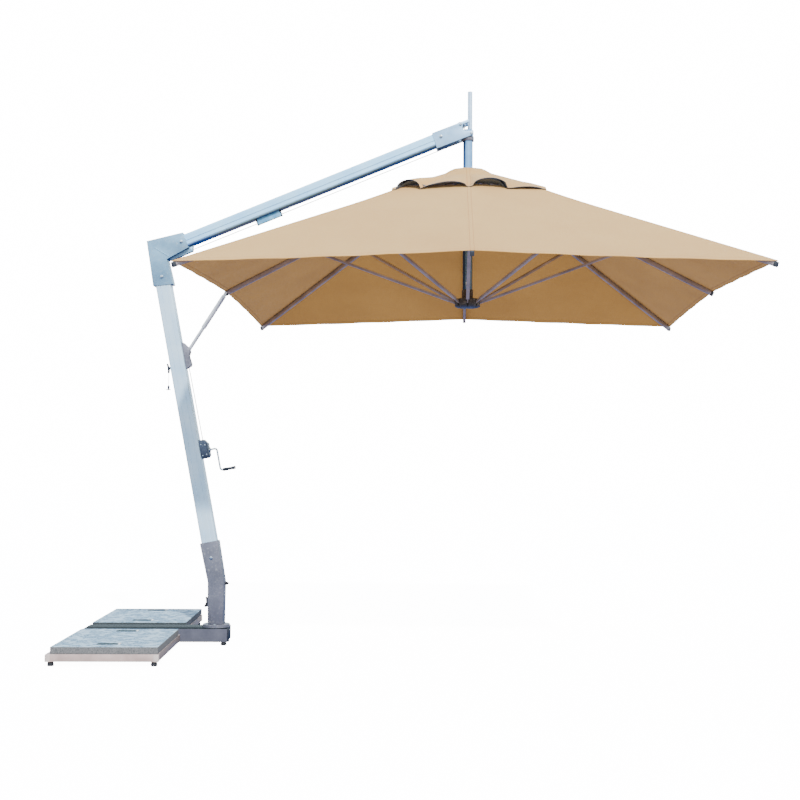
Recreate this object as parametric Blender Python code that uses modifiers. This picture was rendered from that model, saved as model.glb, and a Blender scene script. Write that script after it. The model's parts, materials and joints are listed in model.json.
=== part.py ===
"""Cantilever parasol: a square canopy hung from a leaning mast that turns on a slab-weighted base.

Metres, +Z up, standing on z = 0. X runs from the base (negative) to the canopy (positive), and the
mast, the arm and the pole lie in the plane Y = 0. The base under them is turned a little about the
mast's turning axis, as it stands when the canopy has been swung round.
"""

import math

import bmesh
import bpy
from mathutils import Matrix, Vector

# ---------------------------------------------------------------- driving dimensions
GAP = 0.0003                       # clearance between pieces that touch

CANOPY_HALF = 1.5                  # half the side of the square canopy
AXIS_TO_POLE = 1.526               # mast's turning axis to the pole
BASE_TURN = math.radians(3.54)     # base against the line of the arm

# the base's places along X are from the turning axis, before it is turned
BEAM_W, BEAM_BOTTOM, BEAM_TOP = 0.200, 0.021, 0.101
BEAM_RIGHT = 0.078
BEAM_WALL = 0.004
TRAY_LEFT, TRAY_W, TRAY_D = -0.8115, 0.606, 0.785   # tray frame, X by Y
RAIL_BOTTOM, RAIL_TOP, RAIL_W = 0.026, 0.067, 0.030
RAIL_WALL = 0.003
SLAB_LEFT = -0.7875
SLAB_W, SLAB_D, SLAB_TOP = 0.581, 0.732, 0.107
GRIP_L, GRIP_W = 0.110, 0.030      # hand slots in each slab
GRIP_INSET = 0.100                 # slot centre from the slab's edge
FLANGE_R, FLANGE_TOP = 0.083, 0.121
FOOT_R = 0.018
FOOT_INSET = 0.024                 # foot centre from the edge it stands under

# the canopy's far edge and the base's rear left corner lie equally far from X = 0
BASE_REACH = -TRAY_LEFT * math.cos(BASE_TURN) + (BEAM_W / 2 + TRAY_D) * math.sin(BASE_TURN)
POLE_X = (AXIS_TO_POLE + BASE_REACH - CANOPY_HALF) / 2
MAST_X = POLE_X - AXIS_TO_POLE

POLE_R = 0.030                     # outer pole
POLE_WALL = 0.0025
POLE_BOTTOM = 2.135
POLE_TOP = 3.165
LIFT_R = 0.0145                    # inner lifting tube, set to one side to leave room for the rope
LIFT_OFFSET = 0.0125
LIFT_TOP = 3.405

CROWN_R = 0.06                     # rib hinges: radius and height
CROWN_Z = 2.885
HUB_R = 0.070                      # strut hinges on the lower hub: radius and height
HUB_Z = 2.090
STRUT_JOIN_R = 0.967               # where a strut meets its rib
MID_RIB_END = Vector((1.492, 0, 2.148))
CORNER_RIB_END = Vector((1.492 * math.sqrt(2), 0, 2.092))
RIB_W, RIB_H = 0.018, 0.025
RIB_WALL = 0.002
STRUT_W, STRUT_H = 0.020, 0.015
TONGUE_T = 0.008                   # flat end that sits in a hub slot
SLOT_W = 0.010
SLOT_INNER_R = 0.047
CHEEK_T = 0.004                    # fork cheeks of a strut, one each side of its rib
FORK_LENGTH = 0.062

FABRIC_T = 0.003
FABRIC_GAP = 0.003                 # above the ribs
VENT_HALF = 0.40                   # opening in the main canopy
CAP_HALF = 0.45                    # vent cap that covers it

BEND_Z = 0.376                     # where the foot casting turns from upright to leaning
MAST_LEAN = math.radians(10.96)
MAST_W, MAST_D = 0.0934, 0.080     # section across the lean, and front to back
MAST_WALL = 0.003
MAST_START, MAST_END = 0.06, 1.985  # along the lean, from the bend
ARM_SLOPE = math.radians(21.98)
ARM_H, ARM_D = 0.080, 0.080
ARM_CORNER = 0.014                 # corner radius of its section
ARM_ANCHOR = Vector((POLE_X - 1.733, 0, 2.479))   # a point on the arm's centre line
ARM_START, ARM_END = -0.072, 1.742  # along the arm, from the anchor

ROPE_R = 0.0025
ROPE_DROP = 0.024                  # rope's centre line under the arm's lower face
CORD_R = 0.0015
ROPE_STANDOFF = 0.016              # rope's centre line off the mast's face
DRUM_R = 0.021
STAY_HEAD = Vector((-1.505, 0, 2.133))   # from the foot of the pole's axis
STAY_TRAVEL = 0.12
STAY_ROD_R, STAY_SLEEVE_R = 0.0110, 0.0145
PEDAL_Z = 0.232                    # lock pedal's pin
PEDAL_HUB_R = 0.009

UP_MAST = Vector((-math.sin(MAST_LEAN), 0, math.cos(MAST_LEAN)))
OUT_MAST = Vector((math.cos(MAST_LEAN), 0, math.sin(MAST_LEAN)))
BEND = Vector((MAST_X, 0, BEND_Z))
UP_ARM = Vector((math.cos(ARM_SLOPE), 0, math.sin(ARM_SLOPE)))
OVER_ARM = Vector((-math.sin(ARM_SLOPE), 0, math.cos(ARM_SLOPE)))
SIDE = Vector((0, 1, 0))

RIB_NAMES = ("right", "far_right", "far", "far_left", "left", "near_left", "near", "near_right")


# ---------------------------------------------------------------- scene and materials
def fresh_scene():
    for old in list(bpy.data.objects):
        bpy.data.objects.remove(old, do_unlink=True)
    groups = []
    for name in ("cantilever_parasol", "cutters"):
        group = bpy.data.collections.new(name)
        bpy.context.scene.collection.children.link(group)
        groups.append(group)
    return groups


PARTS, CUTTERS = fresh_scene()
MATERIALS = {}
FINISHES = {
    "anodised": ((0.74, 0.80, 0.86), 0.35, 0.9),
    "cast_grey": ((0.45, 0.47, 0.52), 0.45, 0.8),
    "steel": ((0.62, 0.63, 0.65), 0.30, 1.0),
    "painted_steel": ((0.50, 0.50, 0.54), 0.50, 0.6),
    "dark_plastic": ((0.06, 0.06, 0.07), 0.55, 0.0),
    "blue_plastic": ((0.20, 0.50, 0.80), 0.45, 0.0),
    "rubber": ((0.03, 0.03, 0.03), 0.80, 0.0),
    "rope": ((0.20, 0.20, 0.19), 0.85, 0.0),
    "granite": ((0.55, 0.60, 0.64), 0.75, 0.0),
    "fabric": ((0.64, 0.53, 0.40), 0.85, 0.0),
}


def finish(name):
    if name not in MATERIALS:
        colour, roughness, metallic = FINISHES[name]
        made = bpy.data.materials.new(name)
        made.use_nodes = True
        shader = made.node_tree.nodes["Principled BSDF"]
        shader.inputs["Base Color"].default_value = (*colour, 1)
        shader.inputs["Roughness"].default_value = roughness
        shader.inputs["Metallic"].default_value = metallic
        made.diffuse_color = (*colour, 1)
        MATERIALS[name] = made
    return MATERIALS[name]


# ---------------------------------------------------------------- modelling helpers
def place(name, data, material, matrix=None, group=PARTS):
    made = bpy.data.objects.new(name, data)
    if material and not len(data.materials):
        data.materials.append(finish(material))
    made.matrix_world = matrix or Matrix()
    group.objects.link(made)
    return made


def axes(origin, x_dir, y_dir, z_dir):
    """A matrix that puts local X, Y and Z along three world directions."""
    columns = Matrix((x_dir, y_dir, z_dir)).transposed().to_4x4()
    return Matrix.Translation(origin) @ columns


def box_mesh(name, low, high):
    low, high = Vector(low), Vector(high)
    shape = bmesh.new()
    size = high - low
    matrix = Matrix.Translation((low + high) / 2) @ Matrix.Diagonal((*size, 1))
    bmesh.ops.create_cube(shape, size=1, matrix=matrix)
    data = bpy.data.meshes.new(name)
    shape.to_mesh(data)
    shape.free()
    return data


def box(name, low, high, material, matrix=None, bevel=0.0, group=PARTS):
    made = place(name, box_mesh(name, low, high), material, matrix, group)
    if bevel:
        rounding = made.modifiers.new("edges", "BEVEL")
        rounding.width = bevel
        rounding.segments = 2
    return made


def cylinder(name, radius, start, end, material, sides=24, top_radius=None, group=PARTS):
    """A round bar from start to end, in world coordinates."""
    start, end = Vector(start), Vector(end)
    along = end - start
    shape = bmesh.new()
    bmesh.ops.create_cone(shape, cap_ends=True, segments=sides, radius1=radius,
                          radius2=radius if top_radius is None else top_radius, depth=along.length)
    data = bpy.data.meshes.new(name)
    shape.to_mesh(data)
    shape.free()
    data.shade_smooth()
    data.set_sharp_from_angle(angle=math.radians(40))
    turn = along.to_track_quat("Z", "Y").to_matrix().to_4x4()
    return place(name, data, material, Matrix.Translation((start + end) / 2) @ turn, group)


def turned(name, profile, material, matrix, steps=32, closed=False, group=PARTS):
    """A turned shape: (radius, height) points run down the outer side, about local Z."""
    shape = bmesh.new()
    points = [shape.verts.new((r, 0, z)) for r, z in profile]
    for a, b in zip(points, points[1:]):
        shape.edges.new((a, b))
    if closed:
        shape.edges.new((points[-1], points[0]))
    data = bpy.data.meshes.new(name)
    shape.to_mesh(data)
    shape.free()
    made = place(name, data, material, matrix, group)
    screw = made.modifiers.new("turn", "SCREW")
    screw.steps = steps
    screw.render_steps = steps
    screw.use_merge_vertices = True
    screw.merge_threshold = 0.00005
    screw.use_smooth_shade = False
    return made


def outline(name, loops, thickness, material, matrix=None, group=PARTS):
    """A flat plate, thickness along local Z; the first loop is its rim and the others are holes."""
    data = bpy.data.curves.new(name, "CURVE")
    data.dimensions = "2D"
    data.fill_mode = "BOTH"
    data.extrude = thickness / 2
    for loop in loops:
        spline = data.splines.new("POLY")
        spline.points.add(len(loop) - 1)
        for point, (x, y) in zip(spline.points, loop):
            point.co = (x, y, 0, 1)
        spline.use_cyclic_u = True
    return place(name, data, material, matrix, group)


def wire(name, points, radius, material):
    data = bpy.data.curves.new(name, "CURVE")
    data.dimensions = "3D"
    data.bevel_depth = radius
    data.bevel_resolution = 2
    data.use_fill_caps = True
    spline = data.splines.new("POLY")
    spline.points.add(len(points) - 1)
    for point, co in zip(spline.points, points):
        point.co = (*co, 1)
    return place(name, data, material)


def boolean(target, tool, operation):
    """Cuts or joins tool, which moves to the cutters and stays out of the model."""
    for group in list(tool.users_collection):
        group.objects.unlink(tool)
    CUTTERS.objects.link(tool)
    tool.hide_render = True
    tool.display_type = "WIRE"
    step = target.modifiers.new(operation.lower(), "BOOLEAN")
    step.operation = operation
    step.object = tool
    return target


def cut(target, *tools):
    for tool in tools:
        boolean(target, tool, "DIFFERENCE")
    return target


def join(target, *tools):
    for tool in tools:
        boolean(target, tool, "UNION")
    return target


def solid(made):
    """The object with its curve or modifiers turned into one welded mesh."""
    bpy.context.view_layer.update()
    seen = made.evaluated_get(bpy.context.evaluated_depsgraph_get())
    data = bpy.data.meshes.new_from_object(seen)
    shape = bmesh.new()
    shape.from_mesh(data)
    bmesh.ops.remove_doubles(shape, verts=shape.verts, dist=0.00001)
    shape.to_mesh(data)
    shape.free()
    name, matrix, groups = made.name, made.matrix_world.copy(), list(made.users_collection)
    bpy.data.objects.remove(made)
    again = bpy.data.objects.new(name, data)
    again.matrix_world = matrix
    for group in groups:
        group.objects.link(again)
    return again


def upright(origin=(0, 0, 0)):
    """Local XY becomes world XZ, so a flat outline stands in the plane of the mast and the arm."""
    return Matrix.Translation(origin) @ Matrix.Rotation(math.pi / 2, 4, "X")


def on_mast(along, out=0.0, side=0.0):
    return BEND + along * UP_MAST + out * OUT_MAST + side * SIDE


def on_arm(along, over=0.0, side=0.0):
    return ARM_ANCHOR + along * UP_ARM + over * OVER_ARM + side * SIDE


def rounded(width, depth, radius, grooves=(), groove_w=0.004, groove_d=0.0016):
    """A rounded rectangle, anticlockwise, with V grooves at the given X in its two long faces."""
    points = []
    for cx, cy, start in ((1, 1, 0), (-1, 1, 90), (-1, -1, 180), (1, -1, 270)):
        for step in (0, 30, 60, 90):
            angle = math.radians(start + step)
            points.append((cx * (width / 2 - radius) + radius * math.cos(angle),
                           cy * (depth / 2 - radius) + radius * math.sin(angle)))
        if start in (0, 180):
            face = cy * depth / 2
            for x in sorted(grooves, reverse=start == 0):
                ahead = groove_w / 2 if start == 0 else -groove_w / 2
                points.append((x + ahead, face))
                points.append((x, face - cy * groove_d))
                points.append((x - ahead, face))
    return points


# ---------------------------------------------------------------- base
BASE_PLACE = Matrix.Translation((MAST_X, 0, 0)) @ Matrix.Rotation(BASE_TURN, 4, "Z")


def base():
    half = BEAM_W / 2
    beam = box("base_beam", (SLAB_LEFT, -half, BEAM_BOTTOM), (BEAM_RIGHT, half, BEAM_TOP), "painted_steel",
               BASE_PLACE)
    cut(beam, box("beam_hollow", (SLAB_LEFT - 0.02, -half + BEAM_WALL, BEAM_BOTTOM + BEAM_WALL),
                  (BEAM_RIGHT - BEAM_WALL, half - BEAM_WALL, BEAM_TOP - BEAM_WALL), None, BASE_PLACE,
                  group=CUTTERS))
    tray_foot_y = half + TRAY_D - FOOT_INSET
    for name, side in (("front", -1), ("rear", 1)):
        tray(name, side)
        slab(name, side)
        foot(f"foot_{name}_left", TRAY_LEFT + FOOT_INSET, side * tray_foot_y, RAIL_BOTTOM)
        foot(f"foot_{name}_right", TRAY_LEFT + TRAY_W - FOOT_INSET, side * tray_foot_y, RAIL_BOTTOM)
        foot(f"foot_beam_{name}", BEAM_RIGHT - FOOT_INSET, side * (half - FOOT_INSET), BEAM_BOTTOM)


def tray_loops(side, wall):
    """Rim and openings of a tray frame, as loops, drawn in from the rails' faces by wall."""
    near, far = BEAM_W / 2 + GAP, BEAM_W / 2 + TRAY_D
    left, right = TRAY_LEFT, TRAY_LEFT + TRAY_W
    columns = 3
    bay = (TRAY_W - (columns + 1) * RAIL_W) / columns
    middle_y = (near + far) / 2
    boxes = [(left + wall, near + wall, right - wall, far - wall)]
    for column in range(columns):
        x0 = left + RAIL_W + column * (bay + RAIL_W)
        for y0, y1 in ((near + RAIL_W, middle_y - RAIL_W / 2), (middle_y + RAIL_W / 2, far - RAIL_W)):
            boxes.append((x0 - wall, y0 - wall, x0 + bay + wall, y1 + wall))
    return [[(x0, side * y0), (x1, side * y0), (x1, side * y1), (x0, side * y1)]
            for x0, y0, x1, y1 in boxes]


def tray(name, side):
    """A frame of downward channels with cross rails, bolted to the side of the beam."""
    height = RAIL_TOP - RAIL_BOTTOM
    middle = (RAIL_BOTTOM + RAIL_TOP) / 2
    past = 0.010                       # the cutter runs this far out of the channels' open side
    made = solid(outline(f"tray_{name}", tray_loops(side, 0), height, "painted_steel",
                         Matrix.Translation((0, 0, middle))))
    inside = Matrix.Translation((0, 0, middle - RAIL_WALL - past / 2))
    cut(made, solid(outline(f"channel_{name}", tray_loops(side, RAIL_WALL), height + past, None, inside,
                            CUTTERS)))
    made = solid(made)
    made.matrix_world = BASE_PLACE @ made.matrix_world


def slab(name, side):
    """A stone slab with a hand slot through it near its inner and its outer edge."""
    near = BEAM_W / 2 + TRAY_D - SLAB_D
    low_y, high_y = sorted((side * near, side * (near + SLAB_D)))
    made = box(f"slab_{name}", (SLAB_LEFT, low_y, RAIL_TOP + GAP), (SLAB_LEFT + SLAB_W, high_y, SLAB_TOP),
               "granite", BASE_PLACE, bevel=0.004)
    middle = SLAB_LEFT + SLAB_W / 2
    past = 0.01                        # the cutters run this far out of the slab
    for y in (near + GRIP_INSET, near + SLAB_D - GRIP_INSET):
        low = (middle - GRIP_L / 2, side * y - GRIP_W / 2, RAIL_TOP - past)
        high = (middle + GRIP_L / 2, side * y + GRIP_W / 2, SLAB_TOP + past)
        cut(made, box("hand_slot", low, high, None, BASE_PLACE, group=CUTTERS))


def foot(name, x, y, height):
    profile = [(0, height - GAP), (FOOT_R * 0.8, height - GAP), (FOOT_R, height * 0.5),
               (FOOT_R, 0.003), (FOOT_R - 0.003, 0), (0, 0)]
    turned(name, profile, "rubber", BASE_PLACE @ Matrix.Translation((x, y, 0)), steps=16)


# ---------------------------------------------------------------- mast and arm
def mast():
    flange = [(0, FLANGE_TOP), (FLANGE_R - 0.003, FLANGE_TOP), (FLANGE_R, FLANGE_TOP - 0.003),
              (FLANGE_R, BEAM_TOP + 0.002), (FLANGE_R - 0.002, BEAM_TOP + GAP), (0, BEAM_TOP + GAP)]
    turned("turn_flange", flange, "cast_grey", Matrix.Translation((MAST_X, 0, 0)), steps=40)
    mast_foot()
    section = rounded(MAST_W, MAST_D, 0.008, grooves=(-0.018, 0.018))
    bore = rounded(MAST_W - 2 * MAST_WALL, MAST_D - 2 * MAST_WALL - 0.002, 0.006)
    outline("mast_tube", [section, bore], MAST_END - MAST_START, "anodised",
            axes(on_mast((MAST_START + MAST_END) / 2), OUT_MAST, SIDE, UP_MAST))
    section = rounded(ARM_H, ARM_D, ARM_CORNER, grooves=(0.004,))
    bore = rounded(ARM_H - 2 * MAST_WALL, ARM_D - 2 * MAST_WALL - 0.002, ARM_CORNER - 0.002)
    outline("arm_tube", [section, bore], ARM_END - ARM_START, "anodised",
            axes(on_arm((ARM_START + ARM_END) / 2), -OVER_ARM, SIDE, UP_ARM))
    elbow_bracket()
    tip_bracket()


def mast_foot():
    """A casting that stands on the flange, bends at BEND_Z and takes the foot of the mast tube."""
    half_low, half_top = 0.046, 0.0545
    top_left, top_right = on_mast(0.247, -half_top), on_mast(0.247, half_top)
    rim = [(MAST_X - half_low, FLANGE_TOP + GAP), (MAST_X + half_low, FLANGE_TOP + GAP),
           (MAST_X + half_low + 0.003, BEND_Z), (top_right.x, top_right.z), (top_left.x, top_left.z),
           (MAST_X - half_low - 0.003, BEND_Z)]
    depth = MAST_D + 0.014
    casting = solid(outline("mast_foot", [rim], depth, "cast_grey", upright()))
    socket = mast_box("mast_socket", (-MAST_W / 2 - GAP, MAST_START - GAP), (MAST_W / 2 + GAP, 0.4),
                      MAST_D / 2 + GAP)
    core = box("foot_core", (MAST_X - half_low + 0.008, -depth / 2 + 0.008, FLANGE_TOP - 0.01),
               (MAST_X + half_low - 0.008, depth / 2 - 0.008, BEND_Z - 0.03), None, group=CUTTERS)
    cut(casting, socket, core)
    bolt_head("foot_bolt", on_mast(0.150, 0, -depth / 2 - GAP), 0.011, 0.007)


def mast_box(name, low, high, half_side):
    """A cutter in the mast's own frame: low and high are (out, along) corners."""
    return box(name, (low[0], -half_side, low[1]), (high[0], half_side, high[1]), None,
               axes(BEND, OUT_MAST, SIDE, UP_MAST), group=CUTTERS)


def arm_box(name, low, high, half_side, material=None, group=CUTTERS):
    """A box in the arm's own frame: low and high are (along, over) corners."""
    return box(name, (low[0], -half_side, low[1]), (high[0], half_side, high[1]), material,
               axes(ARM_ANCHOR, UP_ARM, SIDE, OVER_ARM), group=group)


def plate(name, points, thickness, material, group=PARTS):
    """A plate in the plane of the mast and the arm, from world points around its rim."""
    return solid(outline(name, [[(p.x, p.z) for p in points]], thickness, material, upright(),
                         group=group))


def bolt_head(name, place_at, radius, height):
    """A hexagon bolt head on a face that looks towards -Y."""
    cylinder(name, radius, place_at, Vector(place_at) - height * SIDE, "steel", sides=6,
             top_radius=radius * 0.92)


def elbow_bracket():
    """The corner between mast and arm: sleeves for both tubes, and a web below that guides the rope."""
    depth = MAST_D + 0.012
    corner = [on_arm(-0.236, 0.084), on_mast(1.858, -0.0600), on_mast(1.848, 0.0600),
              on_mast(2.006, 0.0520), on_arm(-0.008, -0.0500), on_arm(-0.008, 0.0500)]
    bracket = plate("elbow_bracket", corner, depth, "cast_grey")
    web_rim = [on_arm(-0.135, -0.030), on_arm(-0.145, -0.080), on_arm(0.005, -0.0745),
               on_arm(0.020, -ARM_H / 2 - 0.001), on_arm(-0.030, -ARM_H / 2 - 0.001),
               on_arm(-0.050, -0.030)]
    join(bracket, plate("rope_web", web_rim, 0.034, None, CUTTERS))
    mast_bore = mast_box("mast_bore", (-MAST_W / 2 - GAP, MAST_END - 0.3),
                         (MAST_W / 2 + GAP, MAST_END + GAP), MAST_D / 2 + GAP)
    arm_bore = arm_box("arm_bore", (ARM_START - GAP, -ARM_H / 2 - GAP), (0.2, ARM_H / 2 + GAP),
                       ARM_D / 2 + GAP)
    cut(bracket, mast_bore, arm_bore)
    face = -depth / 2 - GAP
    bolt_head("elbow_bolt_arm", on_arm(-0.036, 0.0, face), 0.011, 0.008)
    bolt_head("elbow_bolt_mast", on_mast(1.905, 0.004, face), 0.011, 0.008)


def tip_bracket():
    """The sleeve at the arm's end, with two cheeks that hold the pulley and clamp the pole."""
    shape = [(-0.222, 3.137), (-0.190, 3.041), (0.034, 3.128), (0.034, 3.152), (-0.014, 3.150),
             (-0.036, 3.166), (-0.032, 3.190), (0.004, 3.204), (0.004, 3.224)]
    depth = ARM_D + 0.012
    bracket = plate("tip_bracket", [Vector((POLE_X + x, 0, z)) for x, z in shape], depth, "anodised")
    half = POLE_R + GAP
    slot = box("pole_slot", (POLE_X - 0.106, -half, 2.9), (POLE_X + 0.06, half, 3.3), None, group=CUTTERS)
    arm_bore = arm_box("tip_arm_bore", (1.4, -ARM_H / 2 - GAP), (ARM_END + GAP, ARM_H / 2 + GAP),
                       ARM_D / 2 + GAP)
    cut(bracket, slot, arm_bore)
    bolt_head("tip_bolt", on_arm(1.690, 0.004, -depth / 2 - GAP), 0.011, 0.007)


# ---------------------------------------------------------------- pole, crown and lower hub
def ring(name, outer, inner, low, high, material, matrix, steps=32):
    profile = [(inner, high), (outer, high), (outer, low), (inner, low)]
    return turned(name, profile, material, matrix, steps=steps, closed=True)


def slotted(made, origin):
    """Eight radial slots for the flat ends of the ribs or the struts."""
    for index in range(8):
        turn = Matrix.Rotation(index * math.pi / 4, 4, "Z")
        cut(made, box(f"{made.name}_slot_{index}", (SLOT_INNER_R, -SLOT_W / 2, -0.2),
                      (0.2, SLOT_W / 2, 0.2), None, Matrix.Translation(origin) @ turn, group=CUTTERS))


def pole():
    axis = Matrix.Translation((POLE_X, 0, 0))
    ring("pole_tube", POLE_R, POLE_R - POLE_WALL, POLE_BOTTOM, POLE_TOP, "anodised", axis, steps=40)
    crown = ring("crown_hub", 0.074, POLE_R + GAP, CROWN_Z - 0.024, CROWN_Z + 0.022, "cast_grey", axis,
                 steps=40)
    slotted(crown, (POLE_X, 0, CROWN_Z))
    floor, top = HUB_Z + 0.020, HUB_Z + 0.081
    disc_top, disc_low, disc_r = HUB_Z + 0.023, HUB_Z - 0.027, 0.078
    cup, collar = POLE_R + 0.001, POLE_R + 0.004
    profile = [(0, floor), (cup, floor), (cup, top), (collar, top), (collar, disc_top),
               (disc_r, disc_top), (disc_r, disc_low + 0.006), (disc_r - 0.010, disc_low), (0, disc_low)]
    hub = turned("lower_hub", profile, "cast_grey", axis, steps=40)
    slotted(hub, (POLE_X, 0, HUB_Z))
    ring("lift_tube", LIFT_R, LIFT_R - 0.0025, floor + GAP, LIFT_TOP, "anodised",
         Matrix.Translation((POLE_X + LIFT_OFFSET, 0, 0)), steps=24)


# ---------------------------------------------------------------- ribs and struts
def slope_of(end):
    return math.atan2(CROWN_Z - end.z, end.x - CROWN_R)


def join_point(end):
    """Where a strut meets its rib, as radius and height."""
    return Vector((STRUT_JOIN_R, 0, CROWN_Z - (STRUT_JOIN_R - CROWN_R) * math.tan(slope_of(end))))


def flat_end(radius, reach, height):
    """The rim of a flat tongue: a round nose about the origin, running out along local X to reach."""
    nose = [(radius * math.cos(a), radius * math.sin(a))
            for a in (math.radians(90 + 22.5 * i) for i in range(9))]
    return nose + [(reach, -height / 2), (reach, height / 2)]


def rib_mesh(name, end):
    """A hollow bar along local X from the crown hinge at the origin, with a flat inner end."""
    length = (end.x - CROWN_R) / math.cos(slope_of(end))
    bar = box(name, (0.035, -RIB_W / 2, -RIB_H / 2), (length, RIB_W / 2, RIB_H / 2), "anodised",
              group=CUTTERS)
    rim = flat_end(0.009, 0.045, 0.018)
    tongue = solid(outline(f"{name}_tongue", [rim], TONGUE_T, None, upright(), group=CUTTERS))
    hollow = box(f"{name}_hollow", (0.06, -RIB_W / 2 + RIB_WALL, -RIB_H / 2 + RIB_WALL),
                 (length + 0.1, RIB_W / 2 - RIB_WALL, RIB_H / 2 - RIB_WALL), None, group=CUTTERS)
    join(bar, tongue)
    cut(bar, hollow)
    return taken(bar)


def strut_mesh(name, length):
    """A bar along local X from the fork at the origin, which straddles the rib, to a flat end."""
    bar = box(name, (FORK_LENGTH, -STRUT_W / 2, -STRUT_H / 2), (length - 0.045, STRUT_W / 2, STRUT_H / 2),
              "anodised", group=CUTTERS)
    inner = RIB_W / 2 + 2 * GAP
    rim = flat_end(0.010, FORK_LENGTH + 0.03, STRUT_H)
    for side in (-1, 1):
        cheek = solid(outline(f"{name}_cheek_{side}", [rim], CHEEK_T, None,
                              upright((0, side * (inner + CHEEK_T / 2), 0)), group=CUTTERS))
        join(bar, cheek)
    rim = [(length - x, z) for x, z in flat_end(0.008, 0.06, 0.013)][::-1]
    tongue = solid(outline(f"{name}_tongue", [rim], TONGUE_T, None, upright(), group=CUTTERS))
    join(bar, tongue)
    return taken(bar)


def taken(made):
    """The finished mesh of a working object, which stays behind with the cutters."""
    final = solid(made)
    data = final.data
    final.hide_render = True
    final.display_type = "WIRE"
    return data


def frame():
    kinds = []
    for name, end in (("mid", MID_RIB_END), ("corner", CORNER_RIB_END)):
        meet = join_point(end)
        reach = Vector((meet.x - HUB_R, 0, meet.z - HUB_Z))
        kinds.append((end, meet, math.atan2(reach.z, reach.x), rib_mesh(f"{name}_rib_shape", end),
                      strut_mesh(f"{name}_strut_shape", reach.length)))
    for index, name in enumerate(RIB_NAMES):
        end, meet, rise, rib_data, strut_data = kinds[index % 2]
        spoke = Matrix.Translation((POLE_X, 0, 0)) @ Matrix.Rotation(index * math.pi / 4, 4, "Z")
        place(f"rib_{name}", rib_data, "anodised",
              spoke @ Matrix.Translation((CROWN_R, 0, CROWN_Z)) @ Matrix.Rotation(slope_of(end), 4, "Y"))
        place(f"strut_{name}", strut_data, "anodised",
              spoke @ Matrix.Translation(meet) @ Matrix.Rotation(math.pi - rise, 4, "Y"))


# ---------------------------------------------------------------- canopy
def fabric_height(radius, corner):
    """Height of the cloth's outer face over a rib, at a radius from the pole."""
    end = CORNER_RIB_END if corner else MID_RIB_END
    slope = slope_of(end)
    lift = (RIB_H / 2 + FABRIC_GAP + FABRIC_T) / math.cos(slope)
    return CROWN_Z - (radius - CROWN_R) * math.tan(slope) + lift


def sheet_of_rings(name, rings, closed_steps=8):
    """An eight-sided sheet through rings of points, thickened downwards."""
    shape = bmesh.new()
    rows = [[shape.verts.new(p) for p in one] for one in rings]
    for low, high in zip(rows, rows[1:]):
        for i in range(closed_steps):
            j = (i + 1) % closed_steps
            shape.faces.new((low[i], high[i], high[j], low[j]))
    bmesh.ops.recalc_face_normals(shape, faces=shape.faces)
    if sum(f.normal.z for f in shape.faces) < 0:
        bmesh.ops.reverse_faces(shape, faces=shape.faces)
    data = bpy.data.meshes.new(name)
    shape.to_mesh(data)
    shape.free()
    made = place(name, data, "fabric", Matrix.Translation((POLE_X, 0, 0)))
    thick = made.modifiers.new("cloth", "SOLIDIFY")
    thick.thickness = FABRIC_T
    thick.offset = -1
    return made


def square_ring(half, mid_z, corner_z):
    points = []
    for index in range(8):
        angle = index * math.pi / 4
        corner = index % 2 == 1
        radius = half * (math.sqrt(2) if corner else 1)
        points.append((radius * math.cos(angle), radius * math.sin(angle), corner_z if corner else mid_z))
    return points


def canopy():
    rings = []
    for half in (VENT_HALF, 0.75, 1.1, CANOPY_HALF):
        rings.append(square_ring(half, fabric_height(half, False), fabric_height(half * math.sqrt(2), True)))
    sheet_of_rings("canopy", rings)
    eye_r, eye_z = 0.045, CROWN_Z + 0.049
    eye = [(eye_r * math.cos(i * math.pi / 4), eye_r * math.sin(i * math.pi / 4), eye_z) for i in range(8)]
    mid_z = fabric_height(CAP_HALF, False) + 0.018
    corner_z = fabric_height(CAP_HALF * math.sqrt(2), True) + 0.010
    share = (0.22 - eye_r) / (CAP_HALF - eye_r)
    middle = square_ring(0.22, eye_z + share * (mid_z - eye_z), eye_z + share * (corner_z - eye_z))
    sheet_of_rings("vent_cap", [eye, middle, square_ring(CAP_HALF, mid_z, corner_z)])


# ---------------------------------------------------------------- rope, pulleys and winch
def rope():
    under = -ARM_H / 2 - ROPE_DROP
    start = on_arm(0.014, under)
    wheel_r = 0.022
    pulley = Vector((POLE_X - 0.0455, 0, 3.1905))
    reach = wheel_r + ROPE_R + 0.001
    left = pulley - Vector((reach, 0, 0))
    # the straight run under the arm bends into the run up to the pulley
    along = (left.x - start.x) / UP_ARM.x
    meet = start + along * UP_ARM
    before, after = meet - 0.032 * UP_ARM, meet + Vector((0, 0, 0.04))
    points = [start.lerp(before, step / 4) for step in range(5)]
    for step in (0.25, 0.5, 0.75):
        points.append(before.lerp(meet, step).lerp(meet.lerp(after, step), step))
    points.append(after)
    for step in range(9):
        angle = math.pi - step * math.pi / 8
        points.append(pulley + reach * Vector((math.cos(angle), 0, math.sin(angle))))
    points.append(pulley + Vector((reach, 0, -0.16)))
    wire("rope_arm", points, ROPE_R, "rope")
    grooved_wheel("tip_pulley", pulley, wheel_r, 0.016)
    out = MAST_W / 2 + ROPE_STANDOFF
    run = [on_mast(a, out, 0.0235 * (1.322 - a) / (1.322 - 0.870)) for a in (0.870, 1.0, 1.15, 1.322)]
    wire("rope_mast", run, ROPE_R, "rope")
    guide = arm_box("rope_guide", (0.440, under - 0.011), (0.600, -ARM_H / 2 - GAP), 0.013,
                    "blue_plastic", PARTS)
    hole = cylinder("guide_hole", ROPE_R + 0.001, on_arm(0.40, under), on_arm(0.64, under), None,
                    sides=12, group=CUTTERS)
    cut(guide, hole)


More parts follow.
